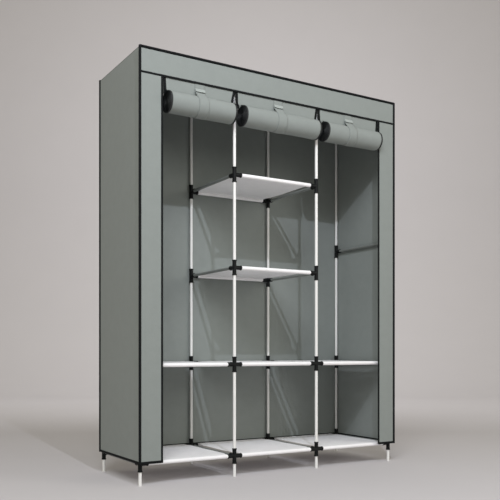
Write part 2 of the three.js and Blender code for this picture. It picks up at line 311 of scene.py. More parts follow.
def ranged(graph, value, start, end):
    """A value between 0 and 1 spread over another range"""
    return graph.add("ShaderNodeMapRange", {"Value": value, "To Min": start, "To Max": end}).outputs["Result"]


def finish(graph, shader, colour, normal, rough, gloss=0.5):
    """Feeds a shader its colour, its normal, its roughness and its gloss."""
    feeds = {"Base Color": colour, "Normal": normal, "Roughness": rough, "Specular IOR Level": gloss}
    for label, value in feeds.items():
        graph.feed(shader.inputs[label], value)


def cloth_material(name, colour, on_surface=True):
    """Non-woven cloth with bonded dots, loose fibres and a faint cloudiness"""
    material, graph, shader, place = new_material(name, "UV" if on_surface else "Object")
    clouds = noise_at(graph, place, 24, 4)
    fibres = noise_at(graph, place, 420, 3, (1, 0.22, 1))
    cloudy = between(graph, clouds, shade(colour, 0.92), shade(colour, 1.08))
    flecks = between(graph, fibres, shade(colour, 0.82), shade(colour, 1.16))
    dots = bonded_dots(graph, place, 3.2 * MM, "Y" if on_surface else "Z")
    relief = bumped(graph, fibres, 0.3, 0.2 * MM, bumped(graph, dots, 0.35, 0.12 * MM))
    tint = between(graph, 0.35, cloudy, flecks)
    finish(graph, shader, tint, relief, ranged(graph, fibres, 0.78, 0.95), gloss=0.3)
    shader.inputs["Sheen Weight"].default_value = 0.08
    shader.inputs["Sheen Roughness"].default_value = 0.5
    return material


def tape_material(name, colour, gloss=0.18, even=0.7):
    """Binding tape or thread with a fine diagonal rib"""
    material, graph, shader, place = new_material(name)
    axes = graph.add("ShaderNodeSeparateXYZ", {"Vector": place}).outputs
    along = graph.math("ADD", graph.math("ADD", axes["X"], axes["Y"]), axes["Z"])
    ribs = graph.math("SINE", graph.math("MULTIPLY", along, 2 * math.pi / (1.4 * MM)))
    lint = noise_at(graph, place, 300, 3)
    tint = between(graph, lint, shade(colour, 0.7), shade(colour, 1.5))
    relief = bumped(graph, ribs, 0.4, 0.15 * MM)
    finish(graph, shader, tint, relief, ranged(graph, lint, even, even + 0.2), gloss)
    return material


def powder_material(name, colour):
    """Powder coat with a faint orange peel"""
    material, graph, shader, place = new_material(name)
    handling = noise_at(graph, place, 18, 4)
    tint = between(graph, handling, shade(colour, 0.95), shade(colour, 1.04))
    peel = bumped(graph, noise_at(graph, place, 260, 2), 0.12, 0.2 * MM)
    finish(graph, shader, tint, peel, ranged(graph, handling, 0.28, 0.42))
    return material


def plastic_material(name, colour):
    """Black moulded plastic with a fine grain and faint scuffs"""
    material, graph, shader, place = new_material(name)
    scuffs = noise_at(graph, place, 70, 5)
    tint = between(graph, scuffs, shade(colour, 0.8), shade(colour, 1.7))
    grain = bumped(graph, noise_at(graph, place, 1400, 2), 0.25, 0.08 * MM)
    finish(graph, shader, tint, grain, ranged(graph, scuffs, 0.36, 0.56), gloss=0.13)
    return material


def floor_material(name, colour):
    """Smooth pale studio floor"""
    material, graph, shader, place = new_material(name)
    tint = between(graph, noise_at(graph, place, 2.5, 3), shade(colour, 0.985), shade(colour, 1.015))
    graph.feed(shader.inputs["Base Color"], tint)
    shader.inputs["Roughness"].default_value = 0.85
    return material


MATERIALS = {}


def make_materials(settings):
    """Makes every finish once."""
    cloth, steel, stage = settings.cloth, settings.frame, settings.stage
    MATERIALS.update({
        "cover": cloth_material("Cover cloth", cloth.cover_colour),
        "hanging": cloth_material("Hanging cloth", cloth.cover_colour, on_surface=False),
        "shelf": cloth_material("Shelf cloth", cloth.shelf_colour),
        "tape": tape_material("Binding tape", cloth.binding_colour),
        # The roll ends' tape is the binding made glossier and lighter; its lighter colour is a painted
        # highlight on the rings of the rolls.
        "satin tape with painted highlight": tape_material("Satin tape lightened as painted highlight", toned(cloth.binding_colour, 1.6), gloss=0.45, even=0.42),
        # The tab's cloth is the cover's colour made lighter: a painted highlight where the fold catches the
        # light.
        "tab": cloth_material("Tab cloth lightened as painted highlight", toned(cloth.cover_colour, 1.35), on_surface=False),
        "seam": tape_material("Roof seam", toned(cloth.cover_colour, 0.5)),
        "grey thread": tape_material("Grey thread", toned(cloth.cover_colour, 0.8)),
        "white thread": tape_material("White thread", toned(cloth.shelf_colour, 0.85)),
        "tube": powder_material("White powder coat", steel.tube_colour),
        # The rung tubes' finish is partly a grey coat and partly painted shade, for the shade they lie in
        # between the shelves.
        "grey tube": powder_material("Grey powder coat and painted shade", steel.rung_colour_and_painted_shade),
        "plastic": plastic_material("Moulded plastic", steel.plastic_colour),
        "floor": floor_material("Studio floor", stage.floor_colour),
    })


# Geometry Nodes: a section swept along paths, and stitches set along paths

def new_tree(name, sockets):
    """A geometry tree with paths, the named inputs and a material in, and its paths as curves"""
    tree = bpy.data.node_groups.new(name, "GeometryNodeTree")
    for label, kind in {"Paths": "Geometry", **sockets, "Material": "Material"}.items():
        tree.interface.new_socket(label, in_out="INPUT", socket_type=f"NodeSocket{kind}")
    tree.interface.new_socket("Mesh", in_out="OUTPUT", socket_type="NodeSocketGeometry")
    graph = Graph(tree)
    inputs = graph.add("NodeGroupInput").outputs
    curve = graph.add("GeometryNodeMeshToCurve", {"Mesh": inputs["Paths"]}).outputs["Curve"]
    return graph, inputs, curve


def end_tree(graph, geometry, material):
    """Closes a geometry tree, smooth, realized and with its material."""
    smooth = graph.add("GeometryNodeSetShadeSmooth", {"Geometry": geometry}).outputs["Geometry"]
    solid = graph.add("GeometryNodeRealizeInstances", {"Geometry": smooth}).outputs["Geometry"]
    feeds = {"Geometry": solid, "Material": material}
    painted = graph.add("GeometryNodeSetMaterial", feeds).outputs["Geometry"]
    graph.add("NodeGroupOutput", {"Mesh": painted})
    return graph.tree


def swept_tree(graph, curve, outline, material):
    """Closes a geometry tree with an outline swept along its paths."""
    feeds = {"Curve": curve, "Profile Curve": outline, "Fill Caps": True}
    return end_tree(graph, graph.add("GeometryNodeCurveToMesh", feeds).outputs["Mesh"], material)


def section_tree():
    """Sweeps a rounded rectangle along the paths; its width lies along each path's own side vector."""
    sockets = {"Width": "Float", "Thickness": "Float", "Corner": "Float", "Steps": "Int"}
    graph, inputs, curve = new_tree("Section along a path", sockets)
    side = graph.add("GeometryNodeInputNamedAttribute", {"Name": "side"}, data_type="FLOAT_VECTOR")
    feeds = {"Curve": curve, "Normal": side.outputs["Attribute"]}
    turned = graph.add("GeometryNodeSetCurveNormal", feeds, mode="FREE").outputs["Curve"]
    feeds = {"Width": inputs["Width"], "Height": inputs["Thickness"]}
    outline = graph.add("GeometryNodeCurvePrimitiveQuadrilateral", feeds).outputs["Curve"]
    feeds = {"Curve": outline, "Radius": inputs["Corner"], "Count": inputs["Steps"], "Limit Radius": True}
    outline = graph.add("GeometryNodeFilletCurve", feeds, mode="POLY").outputs["Curve"]
    return swept_tree(graph, turned, outline, inputs["Material"])


def tube_tree():
    """Sweeps a round tube along the paths."""
    graph, inputs, curve = new_tree("Tube along a path", {"Diameter": "Float", "Sides": "Int"})
    feeds = {"Resolution": inputs["Sides"], "Radius": graph.math("MULTIPLY", inputs["Diameter"], 0.5)}
    outline = graph.add("GeometryNodeCurvePrimitiveCircle", feeds, mode="RADIUS").outputs["Curve"]
    return swept_tree(graph, curve, outline, inputs["Material"])


def stitch_tree():
    """Sets short rounded stitches along the paths at an even pitch."""
    sockets = {"Pitch": "Float", "Length": "Float", "Thread": "Float"}
    graph, inputs, curve = new_tree("Stitches along a path", sockets)
    feeds = {"Curve": curve, "Length": inputs["Pitch"]}
    even = graph.add("GeometryNodeResampleCurve", feeds, mode="LENGTH").outputs["Curve"]
    tangent = graph.add("GeometryNodeInputTangent").outputs["Tangent"]
    turn = graph.add("FunctionNodeAlignRotationToVector", {"Vector": tangent}, axis="X").outputs["Rotation"]
    ball = graph.add("GeometryNodeMeshUVSphere", {"Segments": 6, "Rings": 5, "Radius": 0.5}).outputs["Mesh"]
    feeds = {"X": inputs["Length"], "Y": inputs["Thread"], "Z": inputs["Thread"]}
    size = graph.add("ShaderNodeCombineXYZ", feeds).outputs["Vector"]
    stitch = graph.add("GeometryNodeTransform", {"Geometry": ball, "Scale": size}).outputs["Geometry"]
    feeds = {"Points": even, "Instance": stitch, "Rotation": turn}
    placed = graph.add("GeometryNodeInstanceOnPoints", feeds).outputs["Instances"]
    return end_tree(graph, placed, inputs["Material"])


TREES = {}


def make_trees():
    """Makes every geometry tree once."""
    TREES.update({"section": section_tree(), "tube": tube_tree(), "stitch": stitch_tree()})


def new_object(name, mesh):
    """A linked object with that mesh"""
    made = bpy.data.objects.new(name, mesh)
    bpy.context.scene.collection.objects.link(made)
    return made


def flatten(piece):
    """Turns what a piece's modifiers make into its plain mesh."""
    graph = bpy.context.evaluated_depsgraph_get()
    mesh = bpy.data.meshes.new_from_object(piece.evaluated_get(graph))
    piece.modifiers.clear()
    piece.data = mesh
    return piece


def run_tree(name, tree, paths, sides=None, sharp=math.radians(35), **values):
    """Runs a geometry tree on paths, each a list of points, and gives a plain mesh object."""
    points = [Vector(point) for path in paths for point in path]
    edges = []
    start = 0
    for path in paths:
        edges += [(i, i + 1) for i in range(start, start + len(path) - 1)]
        start += len(path)
    mesh = bpy.data.meshes.new(name)
    mesh.from_pydata(points, edges, [])
    if sides is not None:
        attribute = mesh.attributes.new("side", "FLOAT_VECTOR", "POINT")
        spread = [side for path, side in zip(paths, sides) for _ in path]
        attribute.data.foreach_set("vector", np.array(spread, np.float32).ravel())
    piece = new_object(name, mesh)
    modifier = piece.modifiers.new("run", "NODES")
    modifier.node_group = TREES[tree]
    for socket in TREES[tree].interface.items_tree:
        if socket.in_out == "INPUT" and socket.name in values:
            modifier[socket.identifier] = values[socket.name]
    flatten(piece)
    piece.data.set_sharp_from_angle(angle=sharp)
    return piece


def tube(name, paths, diameter, material="tube", sides=None):
    """Round tubes along the paths"""
    sides = sides or bpy.context.scene.wardrobe.frame.round_sides
    return run_tree(name, "tube", paths, Diameter=diameter, Sides=sides, Material=MATERIALS[material])


def tape(name, paths, sides, width, thickness, corner=None, steps=3, material="tape"):
    """Flat tape along the paths, its width along each path's side vector"""
    corner = corner or 0.45 * min(width, thickness)
    values = {"Width": width, "Thickness": thickness, "Corner": corner, "Steps": steps}
    return run_tree(name, "section", paths, sides, Material=MATERIALS[material], **values)


def stitches(name, paths, material):
    """Rows of stitches along the paths"""
    pitch = bpy.context.scene.wardrobe.cloth.stitch_pitch
    values = {"Pitch": pitch, "Length": 0.66 * pitch, "Thread": 0.9 * MM}
    return run_tree(name, "stitch", paths, sharp=math.pi, Material=MATERIALS[material], **values)


def carry(piece, body, slot, *nodes):
    """Puts a piece on its body and hides the nodes that it stands for; its slot is not used."""
    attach(piece, body)
    if nodes:
        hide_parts(*nodes)
    return piece


# Cloth

def fade(value, reach):
    """Rises smoothly from 0 to 1 over a reach"""
    share = min(1.0, max(0.0, value / reach))
    return share * share * (3 - 2 * share)


def lengths(line):
    """How far along an open line each of its points lies"""
    gaps = np.linalg.norm(np.diff(line, axis=0), axis=1)
    return np.concatenate([[0], np.cumsum(gaps)])


def empty_grid(rows, columns):
    """Room for the points of a cloth's grid and for its flat coordinates in metres"""
    return np.zeros((rows, columns, 3)), np.zeros((rows, columns, 2))


def cloth(name, points, flat, material, thickness, live=False):
    """A cloth through rows of points, half its thickness to each side, its flat coordinates as the UV map"""
    rows, columns = points.shape[:2]
    index = np.arange(rows * columns).reshape(rows, columns)
    corners = [index[:-1, :-1], index[:-1, 1:], index[1:, 1:], index[1:, :-1]]
    faces = np.stack(corners, axis=-1).reshape(-1, 4)
    mesh = bpy.data.meshes.new(name)
    mesh.from_pydata(points.reshape(-1, 3).tolist(), [], faces.tolist())
    layer = mesh.uv_layers.new(name="Cloth")
    layer.data.foreach_set("uv", flat.reshape(-1, 2)[faces.ravel()].astype(np.float32).ravel())
    mesh.materials.append(MATERIALS[material])
    mesh.shade_smooth()
    piece = new_object(name, mesh)
    modifier = piece.modifiers.new("thickness", "SOLIDIFY")
    modifier.thickness = thickness
    modifier.offset = 0
    if not live:
        flatten(piece)
        piece.data.set_sharp_from_angle(angle=math.radians(50))
    return piece


def panel(name, corner, across, up, lift):
    """A flat cloth from a corner along two edges; lift(s, t) moves it along its outward normal."""
    settings = bpy.context.scene.wardrobe.cloth
    across, up = Vector(across), Vector(up)
    normal = across.cross(up).normalized()
    columns = max(6, round(across.length / settings.grid)) + 1
    rows = max(6, round(up.length / settings.grid)) + 1
    points, flat = empty_grid(rows, columns)
    for i, t in enumerate(np.linspace(0, 1, rows)):
        for j, s in enumerate(np.linspace(0, 1, columns)):
            points[i, j] = Vector(corner) + across * s + up * t + normal * lift(s, t)
            flat[i, j] = (s * across.length, t * up.length)
    piece = cloth(name, points, flat, "cover", CLOTH)
    return piece


# How long a hung panel's folds and dents are, across and up, and how far in from its edges they die away
FOLD = (160 * MM, 900 * MM)
DENT = (70 * MM, 120 * MM)
EDGE = (60 * MM, 90 * MM)


def hung_wave(width, height, seed, depth):
    """Long soft waves that die away at a panel's sewn edges"""
    def lift(s, t):
        x, z = s * width, t * height
        edge = fade(min(x, width - x), EDGE[0]) * fade(min(z, height - z), EDGE[1])
        folds = noise.noise(Vector((x / FOLD[0], z / FOLD[1], seed)))
        dents = noise.noise(Vector((x / DENT[0], z / DENT[1], seed + 9)))
        return depth * edge * (0.35 + 0.8 * folds + 0.2 * dents)
    return lift


# Operators: frame

class WARDROBE_OT_tubes(bpy.types.Operator):
    """Builds the posts, the rung tubes and the rails"""

    bl_idname = "wardrobe.tubes"
    bl_label = "Tubes"

    def execute(self, context):
        for row, posts in POSTS.items():
            for i, place in enumerate(posts, 1):
                ends = [(place.x, place.y, 0), (place.x, place.y, POST_TOP)]
                post = tube(f"post_tube_{row}_{i}", [ends], TUBE_DIAMETER)
                carry(post, "root", "tube", f"{row}_post_{i}")
        for rung in RUNGS:
            place = rung_place(rung)
            ends = [(place.x, POSTS[row][0].y + inward * TUBE_END, place.z) for row, inward in ROWS.items()]
            # Rung tubes take the dark grey that is partly painted shade.
            carry(tube(f"{rung}_tube", [ends], TUBE_DIAMETER, "grey tube"), "root", "tube", rung)
        for rail in ("top_rail_front", "top_rail_back", *HANGING_RAILS):
            place = middle(rail)
            ends = [(x, place.y, place.z) for x in (low(rail).x, high(rail).x)]
            carry(tube(f"{rail}_tube", [ends], TUBE_DIAMETER), "root", "tube", rail)
        return {"FINISHED"}


def rung_place(rung):
    """Where a rung's axis stands: its column, the front posts and its level"""
    column = int(rung[-1]) - 1
    place = POSTS["front"][column].copy()
    place.z = middle("top_rail_front").z if rung.startswith("top") else middle(rung).z
    return place


def closed(name, body, rings):
    """A closed body's object, with faces from each ring of its points to the next"""
    for first, second in zip(rings, rings[1:]):
        count = max(len(first), len(second))
        for i in range(count):
            j = (i + 1) % count
            pairs = (first, i), (first, j), (second, j), (second, i)
            corners = [ring[k % len(ring)] for ring, k in pairs]
            body.faces.new(list(dict.fromkeys(corners)))
    bmesh.ops.recalc_face_normals(body, faces=body.faces)
    mesh = bpy.data.meshes.new(name)
    body.to_mesh(mesh)
    body.free()
    return new_object(name, mesh)


def soften(mesh, degrees):
    """Shades a mesh smooth, but for its edges that are sharper than an angle."""
    mesh.shade_smooth()
    mesh.set_sharp_from_angle(angle=math.radians(degrees))


def lathe(name, profile, direction, sides):
    """A closed body turned about direction, from points of distance along it and radius"""
    axis = Vector(direction).normalized()
    side = axis.orthogonal().normalized()
    other = axis.cross(side)
    turns = [2 * math.pi * i / sides for i in range(sides)]
    spokes = [side * math.cos(turn) + other * math.sin(turn) for turn in turns]
    body = bmesh.new()
    rings = []
    for distance, radius in profile:
        around = spokes if radius else spokes[:1]
        rings.append([body.verts.new(axis * distance + spoke * radius) for spoke in around])
    return closed(name, body, rings)


def combined(first, others, operation):
    """Joins or cuts closed bodies into the first one, and removes the others."""
    for other in others:
        modifier = first.modifiers.new("join", "BOOLEAN")
        modifier.operation = operation
        modifier.solver = "EXACT"
        modifier.object = other
    flatten(first)
    for other in others:
        bpy.data.objects.remove(other)
    return first


# The lip and the length of the collar at a connector's mouths, the bore for a tube, and a tee's length
LIP = 0.8 * MM
COLLAR_LENGTH = 5 * MM
BORE = TUBE_DIAMETER / 2 + CLEAR
TEE_LENGTH = 50 * MM


def mouth(reach, raised):
    """Outline of a mouth at a distance, from the foot of its collar to its rim"""
    radius = ARM_DIAMETER / 2
    collar = radius + bpy.context.scene.wardrobe.frame.collar * raised
    return [
        (reach - COLLAR_LENGTH - LIP, radius - LIP / 2), (reach - COLLAR_LENGTH, collar),
        (reach - LIP, collar), (reach - LIP / 3, radius), (reach, radius - LIP),
    ]


def sleeve_profile(reach, raised=True):
    """Outline of a sleeve with a mouth at both ends"""
    start = [(-place, radius) for place, radius in reversed(mouth(reach, raised))]
    return [(-reach, 0), *start, *mouth(reach, raised), (reach, 0)]


def arm_profile(reach, raised=True):
    """Outline of a blind arm from the hub's middle to its mouth, with the socket that a tube sits in"""
    socket = [(reach, BORE), (TUBE_END - CLEAR, BORE), (TUBE_END - CLEAR, 0)]
    return [(0, 0), (0, ARM_DIAMETER / 2 - LIP / 2), *mouth(reach, raised), *socket]


def bored(sleeve, reach, direction, sides):
    """Cuts a tube's bore through a sleeve."""
    hole = lathe("bore", [(-reach, 0), (-reach, BORE), (reach, BORE), (reach, 0)], direction, sides)
    return combined(sleeve, [hole], "DIFFERENCE")


def moulded(body):
    """Gives a connector its finish."""
    body.data.materials.clear()
    body.data.materials.append(MATERIALS["plastic"])
    soften(body.data, 32)
    return body


def connector(arms, capped, sides):
    """A moulded connector round the origin: an upright sleeve, open or capped, and its arms"""
    half = HUB_HEIGHT / 2
    up = Vector((0, 0, 1))
    profile = arm_profile(ARM_REACH, not capped)
    others = [lathe("arm", profile, arm, sides) for arm in arms]
    if not capped:
        body = combined(lathe("connector", sleeve_profile(half), up, sides), others, "UNION")
        return moulded(bored(body, half + CLEAR, up, sides))
    radius = ARM_DIAMETER / 2
    dome = [(radius * math.sin(a), radius * math.cos(a)) for a in np.linspace(0, 1.5, 8)]
    cap = lathe("cap", [(-CLEAR, 0), (-CLEAR, radius), *dome, (radius, 0)], up, sides)
    return moulded(combined(lathe("connector", arm_profile(half), -up, sides), [cap, *others], "UNION"))


class WARDROBE_OT_connectors(bpy.types.Operator):
    """Builds the moulded connectors that join the tubes"""

    bl_idname = "wardrobe.connectors"
    bl_label = "Connectors"

    def execute(self, context):
        sides = context.scene.wardrobe.frame.round_sides
        patterns = {}
        for rung in RUNGS:
            place = rung_place(rung)
            across = tuple(way for way in (-1, 1) if self.has_arm(rung, place, way))
            for row, inward in ROWS.items():
                key = (across, inward, rung.startswith("top"))
                if key not in patterns:
                    arms = [(way, 0, 0) for way in across] + [(0, inward, 0)]
                    patterns[key] = connector(arms, key[2], sides)
                centre = (place.x, POSTS[row][0].y, place.z)
                self.add_copy(patterns[key], f"{rung}_{row}_connector", centre)
        for pattern in patterns.values():
            bpy.data.objects.remove(pattern)
        for rail in HANGING_RAILS:
            self.add_tees(rail, sides)
        return {"FINISHED"}

    def has_arm(self, rung, place, way):
        """Whether a connector has an arm to one side: at the top towards a column, else as its node has"""
        if rung.startswith("top"):
            return any(way * (post.x - place.x) > ARM_REACH for post in POSTS["front"])
        edge = high(rung).x if way > 0 else low(rung).x
        return way * (edge - place.x) > ARM_REACH / 2

    def add_copy(self, pattern, name, place):
        """Sets a copy of a connector at its place."""
        mesh = pattern.data.copy()
        mesh.transform(Matrix.Translation(place))
        carry(new_object(name, mesh), "root", "connector")

    def add_tees(self, rail, sides):
        """Sets a tee on both top rungs that a hanging rail spans."""
        level, along = middle(rail), (0, 1, 0)
        for name, way, x in (("left", 1, low(rail).x - TUBE_END), ("right", -1, high(rail).x + TUBE_END)):
            sleeve = lathe(f"{rail}_tee_{name}", sleeve_profile(TEE_LENGTH / 2, raised=False), along, sides)
            arm = lathe("arm", arm_profile(ARM_REACH, raised=False), (way, 0, 0), sides)
            tee = moulded(bored(combined(sleeve, [arm], "UNION"), TEE_LENGTH, along, sides))
            tee.data.transform(Matrix.Translation((x, level.y, level.z)))
            carry(tee, "root", "connector")


# Operators: shelves

# How far a shelf's cloth runs back under itself, how far its seams lie from its tubes, how much further it
# reaches to each side between the tubes, and the points across its mesh
SHELF_FLAP = 24 * MM
SHELF_SEAM = 17 * MM
SHELF_SPREAD = 12 * MM
SHELF_COLUMNS = 42


class WARDROBE_OT_shelves(bpy.types.Operator):
    """Builds the cloth shelves, sewn round their cross tubes"""

    bl_idname = "wardrobe.shelves"
    bl_label = "Shelves"

    def execute(self, context):
        for number, shelf in enumerate(SHELVES):
            self.add_shelf(context.scene.wardrobe.cloth, shelf, number)
        return {"FINISHED"}

    def line(self, start, end):
        """The cloth's line in Y and Z, from its front flap round both tubes to its back flap"""
        radius = SHELF_SLEEVE / 2 - CLOTH / 2
        under = radius - 1.6 * MM
        turns = np.linspace(math.radians(35), math.radians(-270), 30)
        half = [(start + SHELF_FLAP, under), (start + 0.6 * SHELF_FLAP, under)]
        half += [(start + radius * math.cos(a), radius * math.sin(a)) for a in turns]
        top = [(start + (end - start) * step, radius) for step in np.linspace(0, 1, 30)[1:-1]]
        back = [(start + end - y, z) for y, z in reversed(half)]
        return np.array(half + top + back)

    def add_shelf(self, settings, shelf, number):
        """One shelf: its cloth, its two tubes and the stitches along its sleeves"""
        start, end = POSTS["front"][0].y, POSTS["back"][0].y
        level = high(shelf).z - SHELF_SLEEVE / 2
        centre = middle(shelf).x
        line = self.line(start, end)
        along = lengths(line)
        points, flat = empty_grid(SHELF_COLUMNS, len(line))
        for i, s in enumerate(np.linspace(-1, 1, SHELF_COLUMNS)):
            for j, (y, z) in enumerate(line):
                share = (y - start) / (end - start)
                inner = max(0.0, math.sin(math.pi * min(1, max(0, share))))
                wave = noise.noise(Vector((s * 2.2, share * 5, number * 3.7)))
                drop = settings.shelf_sag * inner * (0.75 + 0.3 * wave) * (1 - 0.3 * abs(s))
                crease = noise.noise(Vector((s * 9, share * 4, number * 5.1)))
                ripple = 1.1 * MM * crease * inner * (0.25 + 0.75 * abs(s) ** 3)
                pinch = 0.35 * MM * abs(noise.noise(Vector((s * 14, j * 0.35, number * 2.3))))
                axis = start if y < (start + end) / 2 else end
                swell = pinch / max(0.5 * SHELF_SLEEVE, math.hypot(y - axis, z)) * (1 - inner)
                spread = SHELF_SPREAD * fade(min(y - start, end - y) - 20 * MM, 26 * MM)
                x = centre + s * (SHELF_REACH + spread)
                points[i, j] = (x, y + (y - axis) * swell, level + z * (1 + swell) - drop + ripple)
                flat[i, j] = (s * SHELF_REACH, along[j])
        piece = cloth(f"{shelf}_cloth", points, flat, "shelf", CLOTH)
        carry(piece, "root", "shelf_cloth", shelf)
        paths = [[(centre + way * SHELF_TUBE_REACH, y, level) for way in (-1, 1)] for y in (start, end)]
        tubes = carry(tube(f"{shelf}_tubes", paths, TUBE_DIAMETER), "root", "tube")
        rows = []
        for y in (start + SHELF_SEAM, end - SHELF_SEAM):
            share = (y - start) / (end - start)
            lift = SHELF_SLEEVE / 2 - settings.shelf_sag * 0.75 * math.sin(math.pi * share)
            rows.append([(centre + way * (SHELF_REACH - 4 * MM), y, level + lift) for way in (-1, 1)])
        seam = carry(stitches(f"{shelf}_stitches", rows, "white thread"), "root", "shelf_cloth")


# Operators: cover

class WARDROBE_OT_cover(bpy.types.Operator):
    """Builds the cover's panels"""

    bl_idname = "wardrobe.cover"
    bl_label = "Cover"

    def execute(self, context):
        settings = context.scene.wardrobe.cloth
        wave = settings.cover_wave
        half = CLOTH / 2
        width, depth, jamb = 2 * SIDE, BACK - FRONT, SIDE - JAMB_EDGE
        under = TOP - CLOTH
        upright, header, tall = under - HEM, under - HEADER_BOTTOM, HEADER_BOTTOM - HEM
        self.hang(
            "header_cloth", "cover_header", (-SIDE, FRONT + half, HEADER_BOTTOM), (width, 0, 0), header,
            1, 0.6 * wave, "top_rail_front")
        self.hang(
            "back_cloth", "cover_back", (SIDE, BACK - half, HEM), (-width, 0, 0), upright,
            2, wave, "top_rail_back")
        roof = panel(
            "roof_cloth", (-SIDE, FRONT, TOP - half), (width, 0, 0), (0, depth, 0),
            self.sag(settings.roof_sag))
        carry(roof, "root", "cover_cloth", "cover_top")
        for name, side, start, edge, rung in (
                ("left", -1, BACK, -SIDE, "top_rung_1"), ("right", 1, FRONT, JAMB_EDGE, "top_rung_4")):
            self.hang(
                f"side_cloth_{name}", f"cover_side_{name}", (side * (SIDE - half), start, HEM),
                (0, side * depth, 0), upright, 3 + side, wave, rung)
            self.hang(
                f"jamb_cloth_{name}", f"cover_jamb_{name}", (edge, FRONT + half, HEM), (jamb, 0, 0), tall,
                6 + side, 0.5 * wave, "header_cloth")
        return {"FINISHED"}

    def hang(self, name, node, corner, across, tall, seed, depth, carrier):
        """An upright panel with its waves, that stands for its node; its carrier is not used."""
        lift = hung_wave(math.hypot(*across), tall, seed, depth)
        carry(panel(name, corner, across, (0, 0, tall), lift), "root", "cover_cloth", node)

    def sag(self, fall):
        """The roof hangs down between the tubes that carry it"""
        columns = [post.x for post in POSTS["front"]]
        rails = [middle(rail).y for rail in ("top_rail_front", "top_rail_back")]
        hanging = middle("hanging_rail_left").y
        inner = POSTS["front"][2].x

        def lift(s, t):
            x, y = (2 * s - 1) * SIDE, FRONT + t * (BACK - FRONT)
            lines = [*rails, hanging] if abs(x) > inner else rails
            across = fade(min(abs(x - column) for column in columns) - ARM_REACH, 90 * MM)
            along = fade(min(abs(y - line) for line in lines) - ARM_DIAMETER, 70 * MM)
            inside = float(abs(x) < POSTS["front"][3].x and rails[0] < y < rails[1])
            return -fall * across * along * inside * (1 + 0.3 * noise.noise(Vector((s * 7, t * 3, 4))))
        return lift


# How far inside the cover's corners the piping's middle lies, how far it runs past a corner, the roof seam's
# thickness, how much thicker than the cloth a folded tape is, and how far from its middle its stitches run
PIPING_INSET = 1.1 * MM
PIPING_OVER = 2.4 * MM
ROOF_SEAM = 3.2 * MM
TAPE_OVER = 2.2 * MM
STITCH_ASIDE = 2.4 * MM


class WARDROBE_OT_piping(bpy.types.Operator):
    """Builds the piping and the binding tape of the cover, with its stitches"""

    bl_idname = "wardrobe.piping"
    bl_label = "Piping"

    def execute(self, context):
        settings = context.scene.wardrobe.cloth
        front, back = FRONT + PIPING_INSET, BACK - PIPING_INSET
        top, side = TOP - PIPING_INSET, SIDE - PIPING_INSET
        corners, outward = [], []
        for x in (-side, side):
            for y in (front, back):
                corners.append([(x, y, HEM), (x, y, top + PIPING_OVER)])
                outward.append((math.copysign(1, x), math.copysign(1, y), 0))
        corners.append([(-side - PIPING_OVER, front, top), (side + PIPING_OVER, front, top)])
        outward.append((0, -1, 1))
        thick = settings.piping
        cord = tape(
            "cover_piping_cord", corners, outward, settings.piping_depth, thick, 0.48 * thick, steps=6)
        carry(cord, "root", "piping", "cover_piping")
        seams = [[(-side, back, top), (side, back, top)]]
        seams += [[(x, front, top), (x, back, top)] for x in (-side, side)]
        carry(tube("cover_roof_seam", seams, ROOF_SEAM, "seam", 12), "root", "cover_cloth")
        self.add_tapes(settings.tape, settings.hem_tape)
        return {"FINISHED"}

    def add_tapes(self, width, hem_width):
        """Flat tape folded over the free edges, and one row of stitches on each"""
        thick = CLOTH + TAPE_OVER
        half = CLOTH / 2
        face, rear, outside = FRONT + half, BACK - half, FRONT + half - thick / 2
        upper, lower = HEADER_BOTTOM, HEM + hem_width / 2 - CLEAR
        seam = STITCH_ASIDE
        edges = [[(x, face, upper) for x in (-SIDE, SIDE)]]
        rows = [[(x, outside, upper + seam) for x in (-SIDE, SIDE)]]
        hems = []
        for x in (-1, 1):
            edge = x * (JAMB_EDGE + width / 2 - CLEAR)
            outer = x * (SIDE - half)
            edges.append([(edge, face, HEM + hem_width - CLEAR), (edge, face, upper - width / 2 + CLEAR)])
            rows.append([(edge + x * seam, outside, HEM + width), (edge + x * seam, outside, upper - width)])
            hems.append([(x * JAMB_EDGE, face, lower), (x * SIDE, face, lower)])
            hems.append([(outer, y, lower) for y in (FRONT, BACK)])
            rows.append([(x * (SIDE - half + thick / 2), y, lower + seam) for y in (FRONT, BACK)])
        hems.append([(x, rear, lower) for x in (-SIDE, SIDE)])
        rows.append([(x, rear + thick / 2, lower + seam) for x in (-SIDE, SIDE)])
        sides = [(0, 0, 1), (1, 0, 0), (1, 0, 0)]
        carry(tape("cover_binding_tape", edges, sides, width, thick), "root", "piping")
        carry(tape("cover_hem_tape", hems, [(0, 0, 1)] * len(hems), hem_width, thick), "root", "piping")
        carry(stitches("cover_binding_stitches", rows, "tape"), "root", "piping")


# Operators: doors

# The depth of a roll's dents and of a hanging stretch's waves, and the width of the tape on a roll's ends
ROLL_DENT = 1.1 * MM
DROP_WAVE = 1.2 * MM
ROLL_TAPE = 8 * MM

# How far a hanging stretch reaches down behind its roll, how much further it does past the roll's ends, and
# how far it stands back there
BEHIND_ROLL = 7 * MM
WING = 15 * MM
TUCK = 8 * MM

# The points across the mesh of a roll, of a hanging stretch and of a strap
ROLL_COLUMNS = 28
DROP_STEPS = 57
STRAP_COLUMNS = 9


